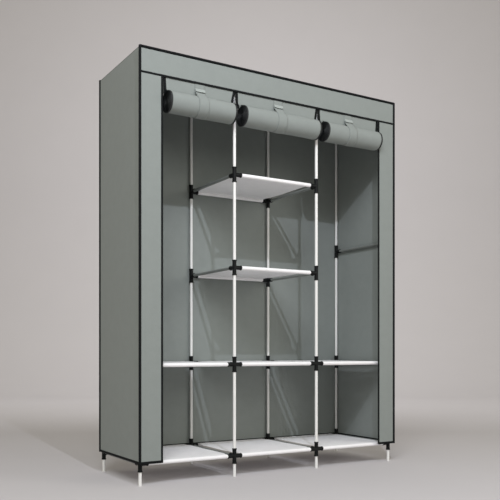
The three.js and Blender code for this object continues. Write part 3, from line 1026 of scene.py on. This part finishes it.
class Roll:
    """The line that a rolled door's cloth follows, in Y and Z"""

    def __init__(self, settings):
        self.steps = settings.turn_steps
        self.lead = settings.lead
        self.outer = (settings.roll - DOOR_CLOTH) / 2
        inner = HEM_DIAMETER / 2 + CLEAR + DOOR_CLOTH / 2
        self.length = HEADER_BOTTOM - settings.hang - (HEM + HEM_DIAMETER / 2)
        self.pitch = math.pi * (self.outer ** 2 - inner ** 2) / self.length
        self.turns = (self.outer - inner) / self.pitch
        self.top = ROLL_LEVEL + self.outer + self.lead

    def radius(self, turn):
        """Radius of the cloth's middle, a number of turns in from the top"""
        return self.outer - self.pitch * turn

    def at(self, radius, turn):
        """A point at a radius, a number of turns from the top round the back"""
        angle = 2 * math.pi * turn
        return DOOR_PLANE + radius * math.sin(angle), ROLL_LEVEL + radius * math.cos(angle)

    def line(self):
        """Points from the end of the hanging stretch to the hem"""
        points = []
        for angle in np.linspace(0, math.pi / 2, 7)[:-1]:
            inward = self.lead * (1 - math.cos(angle))
            points.append((DOOR_PLANE + inward, ROLL_LEVEL + self.outer + self.lead * (1 - math.sin(angle))))
        start = math.asin(self.lead / self.outer) / (2 * math.pi)
        count = round((self.turns - start) * self.steps)
        points += [self.at(self.radius(turn), turn) for turn in np.linspace(start, self.turns, count)]
        return np.array(points)


def smoothed(points, rounds):
    """Points of an open line with its corners rounded off"""
    for _ in range(rounds):
        inner = (points[:-2] + 2 * points[1:-1] + points[2:]) / 4
        points = np.concatenate([points[:1], inner, points[-1:]])
    return points


def spaced(points, step):
    """Points at an even step along an open line"""
    along = lengths(points)
    marks = np.linspace(0, along[-1], max(2, round(along[-1] / step) + 1))
    return np.stack([np.interp(marks, along, points[:, i]) for i in range(points.shape[1])], axis=1)


def roll_ends(bay, node="roll"):
    """Where a roll or its hem starts and ends from left to right; some reach past their nodes"""
    name = f"door_{bay}_{node}"
    return low(name).x, high(name).x + ROLL_OVER.get(bay, 0)


class WARDROBE_OT_doors(bpy.types.Operator):
    """Builds the rolled doors with their bindings, straps and hems"""

    bl_idname = "wardrobe.doors"
    bl_label = "Doors"

    def execute(self, context):
        settings = context.scene.wardrobe.door
        roll = Roll(settings)
        for number, bay in enumerate(BAYS):
            self.add_roll(roll, bay, number)
            self.add_drop(roll, settings, bay, number)
            self.add_strap(roll, settings, bay)
            self.add_hem(bay)
        return {"FINISHED"}

    def add_roll(self, roll, bay, number):
        """The rolled cloth and the tape that binds its two ends"""
        left, right = roll_ends(bay)
        line = roll.line()
        along = lengths(line)
        inset = 1.2 * MM
        strap = middle(f"door_{bay}_strap").x + STRAP_SHIFT.get(bay, 0)
        points, flat = empty_grid(ROLL_COLUMNS, len(line))
        for i, s in enumerate(np.linspace(0, 1, ROLL_COLUMNS)):
            x = left + inset + (right - left - 2 * inset) * s
            free = fade(min(x - left, right - x), 30 * MM) * fade(abs(x - strap) - 30 * MM, 20 * MM)
            for j, (y, z) in enumerate(line):
                away = Vector((y - DOOR_PLANE, z - ROLL_LEVEL))
                direction = away.normalized()
                around = Vector((x / 0.09, direction.x * 1.3, direction.y * 1.3 + number * 7))
                dent = ROLL_DENT * noise.noise(around) * free
                size = away.length / roll.outer
                points[i, j] = (x, y + direction.x * dent * size, z + direction.y * dent * size)
                flat[i, j] = (x - left, along[j])
        rolled = cloth(f"door_{bay}_rolled_cloth", points, flat, "cover", DOOR_CLOTH, live=True)
        carry(rolled, f"door_{bay}", "cover_cloth", f"door_{bay}_roll")
        paths = [[(x, y, z) for y, z in line[4:]] for x in (left + ROLL_TAPE / 2, right - ROLL_TAPE / 2)]
        thick = 0.72 * roll.pitch
        # Its lighter satin tape paints highlights on the rings of the roll's ends.
        ends = tape(
            f"door_{bay}_roll_binding", paths, [(1, 0, 0)] * 2, ROLL_TAPE, thick, 0.48 * thick,
            material="satin tape with painted highlight")
        carry(ends, f"door_{bay}", "piping")
        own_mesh(rolled)
        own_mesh(ends)

    def add_drop(self, roll, settings, bay, number):
        """The stretch of cloth that hangs between the header and the roll, and its side bindings"""
        node = f"door_{bay}_drop"
        strap = middle(f"door_{bay}_strap").x
        keep_off = (high(f"door_{bay}_strap").x - low(f"door_{bay}_strap").x) / 2 + 6 * MM
        top, bottom = high(node).z, roll.top
        inset = 0.5 * MM
        points, flat = empty_grid(DROP_STEPS, DROP_STEPS)
        for i, s in enumerate(np.linspace(0, 1, DROP_STEPS)):
            for j, t in enumerate(np.linspace(0, 1, DROP_STEPS)):
                z = top + (bottom - top) * t
                for _ in range(2):  # how far across a point lies hangs on its level, and the other way round
                    left, right = (self.edge(bay, way, z, bottom) - way * inset for way in (-1, 1))
                    x = left + (right - left) * s
                    z = top + (self.lower_end(roll, bay, x) - top) * t
                clear = fade(abs(x - strap) - keep_off, 30 * MM) * fade(min(s, 1 - s), 0.1)
                hang = fade(top - z, 30 * MM) * fade(z - bottom, 12 * MM)
                wave = DROP_WAVE * noise.noise(Vector((x / 0.05, number * 3, 1))) * clear * hang
                points[i, j] = (x, DOOR_PLANE + wave + self.tuck(roll, z), z)
                flat[i, j] = (x, z)
        hanging = cloth(f"door_{bay}_hanging_cloth", points, flat, "hanging", DOOR_CLOTH, live=True)
        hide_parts(node)
        wide = settings.edge_tape
        paths = []
        for way in (-1, 1):
            inward = -way * wide / 2
            lowest = self.lower_end(roll, bay, self.edge(bay, way, bottom, bottom) + inward)
            levels = np.linspace(HEADER_BOTTOM + 4 * MM, lowest, 50)
            paths.append([
                (self.edge(bay, way, z, bottom) + inward, DOOR_PLANE + self.tuck(roll, z), z) for z in levels
            ])
        binding = tape(
            f"door_{bay}_hanging_binding", paths, [(1, 0, 0)] * 2, wide, DOOR_CLOTH + 1.6 * MM, 1 * MM,
            steps=2)
        for piece in (hanging, binding):
            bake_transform(piece)
        width, tall = high(node).x - low(node).x, top - bottom

    def edge(self, bay, way, z, bottom):
        """Where a side edge of a door's hanging stretch runs at a height"""
        node = f"door_{bay}_drop"
        start, end = (shift * MM for shift in DOOR_EDGES[bay, way])
        share = min(1.0, max(0.0, (HEADER_BOTTOM - z) / (HEADER_BOTTOM - bottom)))
        below = fade(bottom - z, 40 * MM)
        roll_end = roll_ends(bay)[1 if way > 0 else 0]
        outer = (high(node).x if way > 0 else low(node).x) + start + (end - start) * share
        return outer + (roll_end - outer) * 0.8 * below

    def lower_end(self, roll, bay, x):
        """How low the hanging stretch goes: behind the roll's top, and lower past the roll's ends"""
        left, right = roll_ends(bay)
        past = max(left - x, x - right)
        return roll.top - BEHIND_ROLL - WING * fade(past - 1 * MM, 9 * MM)

    def tuck(self, roll, z):
        """How far the lowest end stands back, to lie beside the roll's end"""
        return TUCK * fade(roll.top - BEHIND_ROLL - z, WING)

    def add_strap(self, roll, settings, bay):
        """A strap in two halves, one before and one behind the door, and the tab that it hooks to"""
        node = f"door_{bay}_strap"
        shift = STRAP_SHIFT.get(bay, 0)
        left, right = low(node).x + shift, high(node).x + shift
        bend = HEADER_BOTTOM - settings.strap_fall
        lift = (DOOR_CLOTH + settings.strap) / 2 + CLEAR
        touch = math.acos((roll.radius(0) + lift) / (bend - ROLL_LEVEL)) / (2 * math.pi)
        for name, way, start in (("front", -1, 1 - touch), ("back", 1, touch)):
            arc = [roll.at(roll.radius(turn) + lift, turn) for turn in np.linspace(start, 0.5, 40)]
            leg = [(DOOR_PLANE + way * lift, z) for z in (high(node).z, bend)]
            line = smoothed(spaced(np.array(leg + arc), 2 * MM), 6)
            along = lengths(line)
            points, flat = empty_grid(STRAP_COLUMNS, len(line))
            for i, s in enumerate(np.linspace(0, 1, STRAP_COLUMNS)):
                x = left + (right - left) * (s if way < 0 else 1 - s)
                points[i] = [(x, y, z) for y, z in line]
                flat[i] = [(x - left, a) for a in along]
            strap = cloth(f"{node}_{name}", points, flat, "cover", settings.strap, live=True)
            carry(strap, "root", "cover_cloth", node)
            height = settings.strap / 2 + 0.1 * MM
            rows = [self.raised(line, x, height, way) for x in (left + 3 * MM, right - 3 * MM)]
            seam = carry(stitches(f"{node}_{name}_stitches", rows, "grey thread"), "root", "cover_cloth")
            for piece in (strap, seam):
                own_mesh(piece)
        self.add_tab(bay, (left + right) / 2, right - left - 3 * MM, bend, lift)

    def raised(self, line, x, height, way):
        """The strap's line moved out from its middle, at one place across"""
        steps = np.gradient(line, axis=0)
        normals = np.stack([steps[:, 1], -steps[:, 0]], axis=1) * -way
        normals /= np.linalg.norm(normals, axis=1)[:, None]
        return [(x, *point) for point in (line + normals * height)]

    def add_tab(self, bay, centre, width, level, lift):
        """The folded tab across the strap, just above where the strap leaves the door"""
        face = DOOR_PLANE - lift - 0.9 * MM
        section = [(0, 11), (-1.4, 11.6), (-9.6, -1.8), (-9.2, -3.4), (-3, -2.2), (0, -1)]
        body = bmesh.new()
        steps = 12
        rings = []
        for i in range(steps + 1):
            x = centre + width * (i / steps - 0.5)
            droop = 0.8 * MM * math.sin(math.pi * i / steps)
            rings.append([body.verts.new((x, face + y * MM, level + z * MM - droop)) for y, z in section])
        for end in (rings[0], rings[-1]):
            body.faces.new(end)
        tab = closed(f"door_{bay}_strap_tab", body, rings)
        # Its lighter cloth is a painted highlight on the fold.
        tab.data.materials.append(MATERIALS["tab"])
        bevel = tab.modifiers.new("soft edges", "BEVEL")
        bevel.width = 0.5 * MM
        bevel.segments = 2
        flatten(tab)
        soften(tab.data, 40)
        carry(tab, "root", "cover_cloth")

    def add_hem(self, bay):
        """The corded hem in the middle of the roll"""
        node = f"door_{bay}_hem"
        ends = [(x, middle(node).y, middle(node).z) for x in roll_ends(bay, "hem")]
        carry(tube(f"{node}_cord", [ends], HEM_DIAMETER, "tape", 20), f"hem_{bay}", "piping", node)


# Operators: stage

class WARDROBE_OT_stage(bpy.types.Operator):
    """Sets up the floor, the backdrop, the light and the camera"""

    bl_idname = "wardrobe.stage"
    bl_label = "Stage"

    def execute(self, context):
        settings = context.scene.wardrobe.stage
        self.add_camera(context, settings)
        self.add_backdrop(settings)
        self.add_light(context, settings)
        return {"FINISHED"}

    def add_camera(self, context, settings):
        """A level camera with a shifted picture"""
        data = bpy.data.cameras.new("Camera")
        data.sensor_width = 36
        data.lens = settings.lens
        data.shift_y = settings.rise
        data.clip_end = 60
        camera = bpy.data.objects.new("Camera", data)
        camera.location = settings.camera
        camera.rotation_euler = (math.pi / 2, 0, -settings.turn)
        context.scene.collection.objects.link(camera)
        context.scene.camera = camera

    def add_backdrop(self, settings):
        """A floor that curves up into a wall, square to the camera's view"""
        near, far, radius, tall, wide = -9.0, 8.0, 3.0, 9.0, 16.0
        turns = np.linspace(0, math.pi / 2, 24)
        bend = [(far - radius + radius * math.sin(a), radius - radius * math.cos(a)) for a in turns]
        line = [(near, 0), *bend, (far, tall)]
        points = np.array([[(x, y, z) for y, z in line] for x in (-wide, wide)])
        mesh = bpy.data.meshes.new("backdrop")
        count = len(line)
        faces = [(i, i + count, i + count + 1, i + 1) for i in range(count - 1)]
        mesh.from_pydata(points.reshape(-1, 3).tolist(), [], faces)
        mesh.transform(Matrix.Rotation(-settings.turn, 4, "Z"))
        mesh.materials.append(MATERIALS["floor"])
        mesh.shade_smooth()
        new_object("backdrop", mesh)

    def add_light(self, context, settings):
        """A small and a broad light from the front left, a weaker one from the right, and the wall's"""
        heart = Vector((0, 0, 0.9))
        self.add_lamp("Key", (-0.866, -2.419, 2.807), heart, 0.045, settings.key, (0.849, 0.884, 1))
        self.add_lamp("Fill", (-2.4, -3, 3.6), heart, 2, settings.fill, (0.95, 0.976, 1))
        self.add_lamp("Rim", (2.4, -4, 2), heart, 2, settings.rim, (1, 0.984, 0.943))
        turn = Matrix.Rotation(-settings.turn, 4, "Z")
        for name, aside, share in (("left", -3.5, 0.21), ("middle", 0, 1), ("right", 3.5, 0.21)):
            place, aim = turn @ Vector((aside, 2.5, 4)), turn @ Vector((aside, 8, 2.5))
            self.add_lamp(f"Wash {name}", place, aim, 2.5, settings.wash * share, (0.963, 0.969, 1))
        world = bpy.data.worlds.new("Studio")
        world.use_nodes = True
        background = world.node_tree.nodes["Background"]
        background.inputs["Color"].default_value = (1, 0.944, 0.81, 1)
        background.inputs["Strength"].default_value = settings.ambient
        context.scene.world = world
        context.scene.view_settings.view_transform = "Standard"

    def add_lamp(self, name, place, aim, size, power, colour):
        """A round area light at a place, turned to what it lights"""
        data = bpy.data.lights.new(name, "AREA")
        data.shape = "DISK"
        data.size = size
        data.energy = power
        data.color = colour
        light = bpy.data.objects.new(name, data)
        light.location = place
        light.rotation_euler = (Vector(aim) - Vector(place)).to_track_quat("-Z", "Y").to_euler()
        bpy.context.scene.collection.objects.link(light)


class WardrobeSettings(bpy.types.PropertyGroup):
    """All settings of the wardrobe"""

    cloth: PointerProperty(name="Cloth", description="Cloth settings", type=ClothSettings)
    door: PointerProperty(name="Doors", description="Door settings", type=DoorSettings)
    frame: PointerProperty(name="Frame", description="Frame settings", type=FrameSettings)
    stage: PointerProperty(name="Stage", description="Stage settings", type=StageSettings)


class WARDROBE_PT_panel(bpy.types.Panel):
    """Lists the wardrobe's builders and their settings"""

    bl_label = "Fabric Wardrobe"
    bl_idname = "WARDROBE_PT_panel"
    bl_space_type = "VIEW_3D"
    bl_region_type = "UI"
    bl_category = "Wardrobe"

    def draw(self, context):
        for operator in OPERATORS:
            self.layout.operator(operator.bl_idname)
        settings = context.scene.wardrobe
        for group in (settings.cloth, settings.door, settings.frame, settings.stage):
            section = self.layout.box()
            for name in group.__annotations__:
                section.prop(group, name)


OPERATORS = (
    WARDROBE_OT_tubes,
    WARDROBE_OT_connectors,
    WARDROBE_OT_shelves,
    WARDROBE_OT_cover,
    WARDROBE_OT_piping,
    WARDROBE_OT_doors,
    WARDROBE_OT_stage,
)
GROUPS = (ClothSettings, DoorSettings, FrameSettings, StageSettings, WardrobeSettings)


def register():
    """Registers the settings, the builders and the panel."""
    for made in (*GROUPS, *OPERATORS, WARDROBE_PT_panel):
        bpy.utils.register_class(made)
    bpy.types.Scene.wardrobe = PointerProperty(type=WardrobeSettings)


def unregister():
    """Takes the add-on's classes out again."""
    del bpy.types.Scene.wardrobe
    for made in reversed((*GROUPS, *OPERATORS, WARDROBE_PT_panel)):
        bpy.utils.unregister_class(made)


def main():
    """Builds the wardrobe and its stage."""
    for leftover in ("Cube", "Light", "Camera"):
        if leftover in bpy.data.objects:
            bpy.data.objects.remove(bpy.data.objects[leftover])
    register()
    make_materials(bpy.context.scene.wardrobe)
    make_trees()
    bpy.ops.wardrobe.tubes()
    bpy.ops.wardrobe.connectors()
    bpy.ops.wardrobe.shelves()
    bpy.ops.wardrobe.cover()
    bpy.ops.wardrobe.piping()
    bpy.ops.wardrobe.doors()
    bpy.ops.wardrobe.stage()


if __name__ == "__main__":
    main()
